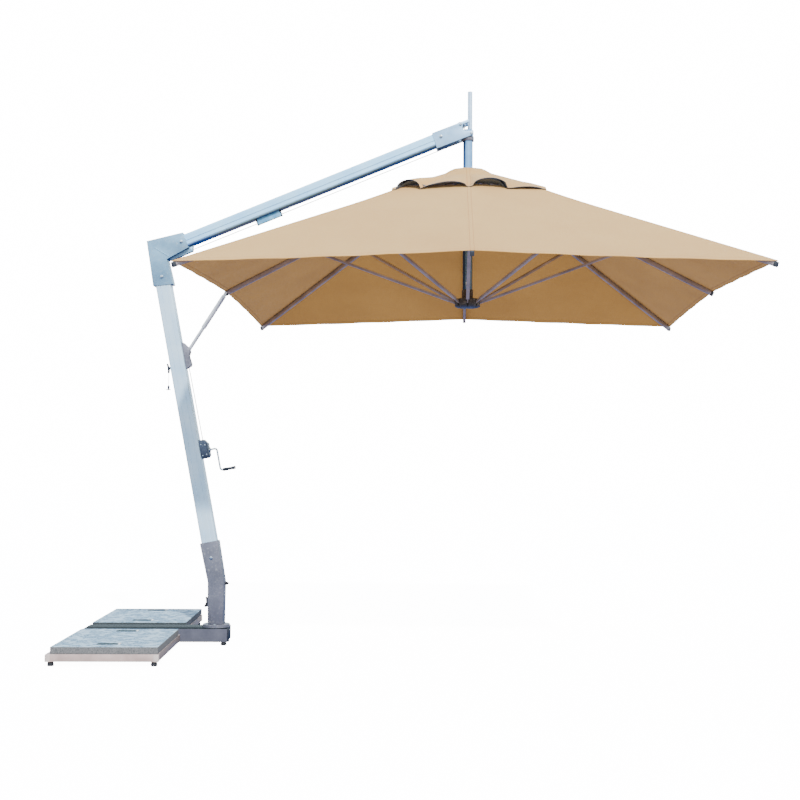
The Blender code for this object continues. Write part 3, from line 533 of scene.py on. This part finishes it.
def on_mast(along, out=0.0, side=0.0):
    return BEND + along * UP_MAST + out * OUT_MAST + side * SIDE


# ---------------------------------------------------------------- canopy
def slope_of(end):
    return math.atan2(CROWN_Z - end.z, end.x - CROWN_R)


def cloth_height(half, corner):
    """Height of the cloth's outer face over a rib, at a half width from the pole."""
    end = CORNER_END if corner else MID_END
    slope = slope_of(end)
    lift = (RIB_H / 2 + (CORNER_GAP if corner else MID_GAP)) / math.cos(slope)
    radius = half * (math.sqrt(2) if corner else 1)
    return CROWN_Z - (radius - CROWN_R) * math.tan(slope) + lift


def panel_height(half, share):
    """Cloth height at a half width, a share of the way from a mid rib (0) to a corner rib (1)."""
    low, high = cloth_height(half, False), cloth_height(half, True)
    sag = PANEL_SAG * 4 * share * (1 - share) * (half / CANOPY_HALF)
    near_vent = max(0.0, 1 - (half - VENT_HALF) / SLACK_REACH) ** 2
    slack = VENT_SLACK * math.sin(math.pi * share ** 0.6) * near_vent
    return low + (high - low) * share - sag + vent_lift(half) - slack


def vent_lift(half):
    """The cloth stands a little off the ribs around the vent."""
    if half < VENT_HALF:
        return VENT_RISE * (half / VENT_HALF) ** 1.5
    return VENT_RISE * max(0.0, 1 - (half - VENT_HALF) / RISE_REACH) ** 2


def hem_half(share):
    """The hem is cut on a shallow curve between rib ends."""
    return CANOPY_HALF - HEM_CURVE * 4 * share * (1 - share)


def gore_columns(corner, count):
    """(share, side) across a gore, from one neighbour's border over the rib to the other's."""
    steps = [i / count for i in range(-count, count + 1)]
    if corner:
        return [(1 - abs(w) / 2, -1 if w < 0 else 1) for w in steps]
    return [(abs(w) / 2, -1 if w < 0 else 1) for w in steps]


def gore_point(half, share, side, corner):
    """A point's (along the rib's direction, across it) for a gore whose rib is local +X."""
    if not corner:
        return half, side * share * half
    x, y = half, share * half
    diagonal = math.sqrt(0.5)
    along, across = (x + y) * diagonal, (x - y) * diagonal
    return along, side * across


def gore(name, index, heights, halves, rows, half_columns, thick, hem_w, rim=0):
    """One rib's share of a square sheet.

    heights and halves give each point's height and each column's inner and outer half width; rows get
    closer towards the hem, half_columns is the number on each side of the rib, and rim the material slot
    of the inner and outer edges.
    """
    corner = index % 2 == 1
    columns = gore_columns(corner, half_columns)
    turn = Matrix.Translation((POLE_X, 0, 0)) @ Matrix.Rotation(index * math.pi / 4, 4, "Z")
    shape = bmesh.new()
    seam = shape.verts.layers.float.new("seam")
    hem = shape.verts.layers.float.new("hem")
    top, under = [], []
    for share, side in columns:
        inner, outer = halves(share)
        line_top, line_under = [], []
        for step in range(rows + 1):
            t = 1 - (1 - step / rows) ** 1.25
            half = inner + (outer - inner) * t
            along, across = gore_point(half, share, side, corner)
            z = heights(half, share, side, index)
            from_hem = outer - half
            thickness = thick * (HEM_THICKER if from_hem < hem_w else 1.0)
            for line, drop in ((line_top, 0.0), (line_under, thickness)):
                vert = shape.verts.new(turn @ Vector((along, across, z - drop)))
                vert[seam] = abs(across)
                vert[hem] = from_hem
                line.append(vert)
        top.append(line_top)
        under.append(line_under)
    count = len(columns)
    for c in range(count - 1):
        for r in range(rows):
            upper = shape.faces.new((top[c][r], top[c][r + 1], top[c + 1][r + 1], top[c + 1][r]))
            upper.material_index = 0
            lower = shape.faces.new((under[c][r], under[c + 1][r], under[c + 1][r + 1], under[c][r + 1]))
            lower.material_index = 1
        for r in (0, rows):
            ends = (top[c][r], top[c + 1][r], under[c + 1][r], under[c][r])
            shape.faces.new(ends if r else ends[::-1]).material_index = rim
    for c in (0, count - 1):
        for r in range(rows):
            ends = (top[c][r], under[c][r], under[c][r + 1], top[c][r + 1])
            shape.faces.new(ends if c == 0 else ends[::-1]).material_index = 0
    data = bpy.data.meshes.new(name)
    shape.to_mesh(data)
    shape.free()
    return data


def fold_with_rib(made, index):
    name = RIB_NAMES[index]
    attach(made, f"rib_{name}")
    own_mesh(made)


def main_height(half, share, side, index):
    """The stretched panel with faint pull lines that fan out towards the hem."""
    reach = max(0.0, (half - PULL_START) / PULL_REACH)
    waves = math.sin(share * math.pi * PULL_WAVES)
    return panel_height(half, share) + PULL_RISE * reach * waves * share * (1 - share) * 4


LOBES = {
    # where the cap's edge stands off the canopy, left to right: start, end, height, lean, roundness
    "near": ((-0.425, -0.282, 0.055, 1.0, 0.45), (-0.278, -0.014, 0.034, 1.5, 0.45),
             (0.022, 0.224, 0.055, 1.1, 0.36), (0.250, 0.430, 0.012, 1.3, 0.6)),
    "other": ((-0.42, -0.21, 0.034, 1.0, 0.6), (-0.20, -0.015, 0.040, 1.2, 0.6),
              (0.015, 0.21, 0.042, 0.9, 0.6), (0.22, 0.42, 0.030, 1.0, 0.6)),
}


def lobe_lift(x, kind):
    for start, end, height, lean, roundness in LOBES[kind]:
        if start <= x <= end:
            along = ((x - start) / (end - start)) ** lean
            return height * math.sin(math.pi * along) ** roundness
    return 0.0


def edge_side(index, share, side):
    """Which side of the square a gore's point is on, and its place along that side seen from outside."""
    angle = index * math.pi / 4
    corner = index % 2 == 1
    along, across = gore_point(CAP_HALF, share, side, corner)
    x = along * math.cos(angle) - across * math.sin(angle)
    y = along * math.sin(angle) + across * math.cos(angle)
    if abs(y) >= abs(x) - 1e-9:
        return ("near", x) if y < 0 else ("other", -x)
    return "other", y if x > 0 else -y


def cap_height(half, share, side, index):
    """The vent cap sits on the crown, falls to the ribs and is pinned to them along its wavy edge."""
    radius = half * math.hypot(1, share)
    low, high = cloth_height(half, False), cloth_height(half, True)
    z = low + (high - low) * share + CAP_GAP + vent_lift(half)
    shoulder = min(1.0, max(0.0, (radius - CAP_TOP_R) / CAP_SHOULDER))
    shoulder = shoulder * shoulder * (3 - 2 * shoulder)
    z += (CAP_TOP - z) * (1 - shoulder)
    kind, x = edge_side(index, share, side)
    run = half / CAP_HALF
    return z + lobe_lift(x, kind) * max(0.0, (run - LOBE_START) / (1 - LOBE_START)) ** 1.3


def canopy(outer, inner, painted_shade_cloth, net):
    """The canopy, its vent cap and the netting, one gore of each to a rib."""
    for index, name in enumerate(RIB_NAMES):
        data = gore(f"canopy_{name}", index, main_height, lambda share: (VENT_HALF, hem_half(share)),
                    30, 14, CLOTH_T, HEM_W)
        piece = sheet_piece(data, index, (outer, inner), "canopy")
        # the cap's underside and its edge faces (slot 1) take the dark cloth: painted shade in place of the
        # canopy cloth
        data = gore(f"vent_cap_{name}", index, cap_height,
                    lambda share: (CAP_HOLE, CAP_HALF), 24, 20, CLOTH_T, CAP_HEM_W, 1)
        piece = sheet_piece(data, index, (outer, painted_shade_cloth), "vent_cap")
        data = gore(f"vent_net_{name}", index, net_height, lambda share: (VENT_HALF + 0.004, NET_HALF),
                    24, 6, NET_T, 0.0)
        piece = sheet_piece(data, index, (net, net), None)


def net_height(half, share, side, index):
    """Netting that closes the vent, from the canopy's opening up to just below the cap."""
    low = panel_height(half, share) + 0.001
    high = cap_height(half, share, side, index) - NET_DROP
    return low + max(0.0, high - low) * ((half - VENT_HALF) / (NET_HALF - VENT_HALF)) ** 0.7


def sheet_piece(data, index, looks, stands_for):
    piece = bpy.data.objects.new(data.name, data)
    bpy.context.scene.collection.objects.link(piece)
    for look in looks:
        data.materials.append(look)
    data.shade_smooth()
    data.set_sharp_from_angle(angle=math.radians(32))
    fold_with_rib(piece, index)
    if stands_for:
        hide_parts(stands_for)
    return piece


# ---------------------------------------------------------------- small parts
def rib_ends(plastic):
    """A plug in each rib's outer end."""
    for index, name in enumerate(RIB_NAMES):
        end = CORNER_END if index % 2 else MID_END
        slope = slope_of(end)
        spoke = Matrix.Translation((POLE_X, 0, 0)) @ Matrix.Rotation(index * math.pi / 4, 4, "Z")
        frame_at = spoke @ Matrix.Translation((end.x, 0, end.z)) @ Matrix.Rotation(slope, 4, "Y")
        shape = bmesh.new()
        rounded_block(shape, frame_at, (-0.012, -0.0105, -0.0140), (0.007, 0.0105, 0.0140), 0.003)
        add_piece(f"rib_end_{name}", shape, plastic, f"rib_{name}")


def pole_trim(steel, white, cast):
    """The pole's stop button and collar, and the heads of the clamp bolt and the tip pulley's axle."""
    shape = bmesh.new()
    at = axes((POLE_X, -POLE_R, 2.208), (1, 0, 0), (0, 0, 1), (0, -1, 0))
    rounded_block(shape, at, (-0.010, -0.009, -0.004), (0.010, 0.009, 0.005), 0.0025)
    add_piece("pole_stop_button", shape, white, "mast")
    shape = bmesh.new()
    at = Matrix.Translation((POLE_X, 0, 3.095))
    profile = [(0.0303, 0.0), (0.0365, 0.0), (0.0375, 0.002), (0.0375, 0.026), (0.0365, 0.028),
               (0.0303, 0.028), (0.0303, 0.0)]
    lathe(shape, at, profile, 40)
    add_piece("pole_collar", shape, cast, "mast")
    head = [(0, -0.001), (0.0085, -0.001), (0.0085, 0.004), (0.0070, 0.0065), (0, 0.0075)]
    for name, x, z in (("pole_clamp_bolt", 0.022, 3.137), ("pulley_axle", -0.0455, 3.1905)):
        shape = bmesh.new()
        for side in (-1, 1):
            at = axes((POLE_X + x, side * 0.0462, z), (1, 0, 0), (0, 0, -side), (0, side, 0))
            lathe(shape, at, head, 24)
        add_piece(name, shape, steel, "mast")


def elbow_seam(cast):
    """The raised mitre line on both cheeks of the elbow bracket."""
    low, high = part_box("elbow_bracket")
    outer, inner = Vector((POLE_X - 1.936, 0, 2.429)), Vector((POLE_X - 1.842, 0, 2.373))
    along = (inner - outer).normalized()
    length = (inner - outer).length
    shape = bmesh.new()
    for y, out in ((low.y, -SIDE), (high.y, SIDE)):
        at = axes(Vector((outer.x, y, outer.z)), along, out.cross(along), out)
        rounded_block(shape, at, (0, -0.0035, -0.001), (length, 0.0035, 0.0016), 0.0011)
    add_piece("elbow_seam", shape, cast, "mast")


def guide_ends(rubber):
    """A clip at each end of the rope guide, above and below the rope."""
    arm_under = -0.040
    rope = arm_under - 0.024
    for name, a in (("low", 0.436), ("high", 0.5945)):
        shape = bmesh.new()
        at = axes(ARM_ANCHOR, UP_ARM, SIDE, OVER_ARM)
        for low, high in ((rope - 0.0125, rope - 0.0045), (rope + 0.0045, arm_under - 0.0005)):
            rounded_block(shape, at, (a, -0.0145, low), (a + 0.0095, 0.0145, high), 0.002)
        add_piece(f"guide_end_{name}", shape, rubber, "mast")


def tray_trim(white, steel):
    """Corner brackets on the tray frames and the screws that hold the turning flange."""
    low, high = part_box("tray_front")
    for side, name in ((-1, "front"), (1, "rear")):
        for x, inward, where in ((TRAY_LEFT, 1, "left"), (TRAY_LEFT + TRAY_W, -1, "right")):
            shape = bmesh.new()
            x0, x1 = sorted((x - inward * 0.003, x + inward * 0.026))
            y0, y1 = sorted((side * (TRAY_FAR + 0.003), side * (TRAY_FAR - 0.026)))
            rounded_block(shape, BASE_PLACE, (x0, y0, low.z - 0.001), (x1, y1, high.z - 0.001), 0.003)
            add_piece(f"tray_corner_{name}_{where}", shape, white, "base")
    shape = bmesh.new()
    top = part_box("turn_flange")[1].z
    for degrees in (60, 120, 210, 270):
        angle = math.radians(degrees)
        at = BASE_PLACE @ Matrix.Translation((0.071 * math.cos(angle), 0.071 * math.sin(angle), top))
        lathe(shape, at, [(0, -0.001), (0.0075, -0.001), (0.0075, 0.0035), (0.006, 0.0055), (0, 0.006)], 20)
    add_piece("flange_screws", shape, steel, "base")


def slot_frames(plastic, bright):
    """A raised frame around each hand slot, dark as painted shade from the slot, with a plate at one end
    whose white is a painted glint.
    """
    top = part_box("slab_front")[1].z
    for side, name in ((-1, "front"), (1, "rear")):
        for y, where in ((SLAB_NEAR + GRIP_INSET, "inner"), (TRAY_FAR - GRIP_INSET, "outer")):
            at = BASE_PLACE @ Matrix.Translation((SLAB_MID, side * y, top))
            shape = bmesh.new()
            for x in (-1, 1):
                low, high = sorted((x * 0.0505, x * 0.058))
                rounded_block(shape, at, (low, -0.0185, 0.0), (high, 0.0185, 0.0035), 0.0015)
                low, high = sorted((x * 0.0110, x * 0.0185))
                rounded_block(shape, at, (-0.052, low, 0.0), (0.052, high, 0.0035), 0.0015)
            # the frames' dark tone is painted shade from the slot
            add_piece(f"slot_frame_{name}_{where}", shape, plastic, "base")
            shape = bmesh.new()
            # the plate's white is a painted glint
            rounded_block(shape, at, (0.059, -0.0150, 0.0), (0.071, 0.0150, 0.0060), 0.0020)
            add_piece(f"slot_plate_{name}_{where}", shape, bright, "base")


def winch_trim(plastic, steel):
    """A lid on each side of the housing with its screws, and a bearing boss in front."""
    face = 0.0467
    front = face + 0.050
    centre = 0.811
    at = axes(BEND, OUT_MAST, SIDE, UP_MAST)
    shape = bmesh.new()
    for side in (-1, 1):
        low = (face + 0.004, side * 0.0395 - 0.0035, centre - 0.048)
        high = (front - 0.006, side * 0.0395 + 0.0035, centre + 0.036)
        rounded_block(shape, at, low, high, 0.0025)
    add_piece("winch_lids", shape, plastic, "mast")
    shape = bmesh.new()
    boss = axes(on_mast(centre - 0.009, front), SIDE, UP_MAST, OUT_MAST)
    lathe(shape, boss, [(0.0072, -0.001), (0.0165, -0.001), (0.0165, 0.004), (0.013, 0.008), (0.0072, 0.008),
                        (0.0072, -0.001)], 28)
    add_piece("winch_boss", shape, steel, "mast")
    shape = bmesh.new()
    for side in (-1, 1):
        for out, up in ((0.012, -0.040), (0.036, -0.036), (0.012, 0.028), (0.036, 0.022)):
            screw = axes(on_mast(centre + up, face + out, side * 0.0430), OUT_MAST, UP_MAST * -side,
                         SIDE * side)
            lathe(shape, screw, [(0, -0.001), (0.0038, -0.001), (0.0038, 0.0012), (0.0025, 0.0020),
                                 (0, 0.0022)], 14)
    add_piece("winch_screws", shape, steel, "mast")


def pull_cord(rope):
    """The short cord that hangs from the cleat to its toggle."""
    low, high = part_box("pull_cord")
    x, y = (low.x + high.x) / 2, (low.y + high.y) / 2
    data = bpy.data.curves.new("pull_cord_line", "CURVE")
    data.dimensions = "3D"
    data.bevel_depth = CORD_R
    data.bevel_resolution = 3
    data.use_fill_caps = True
    spline = data.splines.new("POLY")
    count = 16
    length = high.z - low.z
    spline.points.add(count)
    for step, point in enumerate(spline.points):
        t = step / count
        point.co = (x + 0.0006 * math.sin(math.pi * t * 2), y, high.z - length * t, 1)
    data.materials.append(rope)
    made = bpy.data.objects.new("pull_cord_line", data)
    bpy.context.scene.collection.objects.link(made)
    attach(made, "mast")
    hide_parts("pull_cord")


def finish_nodes(looks):
    """Materials and fine edges for the CAD parts that stay."""
    for name, (look, bevel) in looks.items():
        node = NODES[name]
        node.data.materials.clear()
        node.data.materials.append(look)
        if bevel:
            weld = node.modifiers.new("weld", "WELD")
            weld.merge_threshold = 0.00002
            edge = node.modifiers.new("edges", "BEVEL")
            edge.width = bevel
            edge.segments = 2
            edge.limit_method = "ANGLE"
            edge.angle_limit = math.radians(38)
            edge.harden_normals = False
        node.data.shade_smooth()
        node.data.set_sharp_from_angle(angle=math.radians(30))


def build():
    camera()
    light()
    floor()
    lean = -math.asin(OUT_MAST.z)
    # The blue in the tones of the mast, arm, tip, elbow, pole and lift tube is painted sky reflection over
    # the silver metal's own tone.
    mast_look = extrusion("mast_anodised", "#d2ecff", "#b6daf7", 0.36, 0.2, lean)
    # the arm's last colour is painted shade with painted blue reflection on its underside
    arm_look = extrusion("arm_anodised", "#bce6ff", "#a2d6fa", 0.30, 0.7, ARM_SLOPE, "X", "#10448c")
    # the tip's and elbow's last colours are painted shade with painted blue reflection on their downward
    # faces
    tip_look = casting("tip_cast", "#9fc4e4", "#82a6c8", 0.42, 0.5, "#123f80")
    elbow_look = casting("elbow_cast", "#84adc8", "#6b90ab", 0.45, 0.45, "#133a70")
    foot_look = casting("foot_cast", "#717280", "#5b5c69", 0.5, 0.35)
    hub_look = casting("hub_cast", "#504d4a", "#373537", 0.5, 0.1)
    # the pole's sides colour is painted shade with painted dark-blue reflection along its left and right
    # edges
    pole_look = extrusion("pole_anodised", "#88b2d8", "#6a94bc", 0.30, 0.7, sides="#1a3f70")
    lift_look = extrusion("lift_anodised", "#cfe0f3", "#9fb8d4", 0.28, 0.75)
    rib_look = extrusion("rib_anodised", "#b7a9a9", "#94898c", 0.38, 0.45, 0.0, "X")
    strut_look = extrusion("strut_anodised", "#bcafae", "#968c8f", 0.38, 0.45, 0.0, "X")
    stay_look = extrusion("stay_anodised", "#e2e3e6", "#babcc4", 0.34, 0.5)
    # the last two colours are painted shade: the beam's top between the slabs, and its faces along +X
    base_look = beam_paint("base_painted", "#5b5e6d", "#4b4e5d", "#0a1418", "#2c2d35")
    # the tray's right colour is painted shade on its faces along +X
    tray_look = casting("tray_painted", "#c9b4b0", "#ae9996", 0.55, 0.0, right="#7d706c")
    corner_look = moulded("corner_plastic", "#d8cdca", "#c2b6b3", 0.5)
    white_look = moulded("white_plastic", "#eeeeec", "#d5d5d2", 0.45)
    dark_look = moulded("dark_plastic", "#3a3f49", "#23262c", 0.5)
    # the slot frames' dark tone is painted shade from the slots
    slot_look = moulded("slot_frame_painted_shade", "#2c3c44", "#1c2930", 0.7)
    winch_look = casting("winch_cast", "#535e75", "#3e4759", 0.5, 0.3)
    # the rope guide's blue is painted sky reflection, standing for the shine of an aluminium guide
    guide_sky_look = moulded("blue_plastic", "#86c6f2", "#3b8fcc", 0.35)
    rubber_look = moulded("black_rubber", "#24252a", "#141518", 0.75)
    steel_look = plated("zinc_steel", "#d9dde0")
    rope_look = braided("hoist_rope", "#5a5d62", "#1d1e20")
    cord_look = braided("cord_braid", "#b9bbbd", "#5e6063", 0.003)
    # the stone's speckle tones, tinted blue as painted sky reflection on the tops
    top_tones_painted_sky = ("#769cb6", "#c6e2f4", "#41607a")
    stone_look = stone("granular_stone", *top_tones_painted_sky, "#7c7e81", "#47494d", "#5f6062")
    # a shaded copy of the same stone: sawn sides and +X side darker as painted shade, for the rear slab
    stone_rear_shaded = stone("granular_stone_rear", *top_tones_painted_sky, "#3d464a", "#252b2f", "#34353c")
    outer = canvas("canopy_cloth", "#dfb46e", "#d7aa64", 0.2)
    # the underside is a darker, warmer copy of the same cloth: painted shade with a painted glow of light
    # through the cloth
    inner = canvas("canopy_underside_shaded", "#b48a48", "#a97f3e", 0.1)
    # dark cloth for the vent cap's underside and edges: painted shade
    painted_shade_cloth = canvas("vent_lining", "#505b6c", "#4a5564", 0.0)
    net = netting("vent_netting", "#525d6e")
    looks = {
        "mast_tube": (mast_look, 0.0), "arm_tube": (arm_look, 0.0), "tip_bracket": (tip_look, 0.002),
        "elbow_bracket": (elbow_look, 0.002), "mast_foot": (foot_look, 0.003),
        "turn_flange": (foot_look, 0.0), "pole_tube": (pole_look, 0.0), "lift_tube": (lift_look, 0.0),
        "crown_hub": (hub_look, 0.001), "lower_hub": (hub_look, 0.001), "base_beam": (base_look, 0.003),
        "tray_front": (tray_look, 0.0008), "tray_rear": (tray_look, 0.0008),
        "slab_front": (stone_look, 0.0), "slab_rear": (stone_rear_shaded, 0.0),
        "winch_housing": (winch_look, 0.002), "winch_drum": (steel_look, 0.0),
        "crank_handle": (steel_look, 0.0), "crank_grip": (dark_look, 0.0),
        "stay_bracket": (foot_look, 0.0015), "stay_rod": (stay_look, 0.0), "stay_sleeve": (stay_look, 0.0),
        "mast_pulley": (steel_look, 0.0), "tip_pulley": (steel_look, 0.0), "rope_arm": (rope_look, 0.0),
        "rope_mast": (rope_look, 0.0), "rope_guide": (guide_sky_look, 0.002), "lock_pedal": (rubber_look, 0.002),
        "tension_knob": (rubber_look, 0.0), "cord_cleat": (dark_look, 0.001),
        "cord_toggle": (dark_look, 0.0),
    }
    for name in NODES:
        if name.startswith("rib_"):
            looks[name] = (rib_look, 0.0012)
        elif name.startswith("strut_"):
            looks[name] = (strut_look, 0.0012)
        elif "bolt" in name:
            looks[name] = (steel_look, 0.0008)
        elif name.startswith("foot_"):
            looks[name] = (rubber_look, 0.0)
    finish_nodes(looks)
    canopy(outer, inner, painted_shade_cloth, net)
    rib_ends(dark_look)
    pole_trim(steel_look, white_look, foot_look)
    elbow_seam(elbow_look)
    guide_ends(rubber_look)
    tray_trim(corner_look, steel_look)
    slot_frames(slot_look, white_look)
    winch_trim(winch_look, steel_look)
    pull_cord(cord_look)


build()
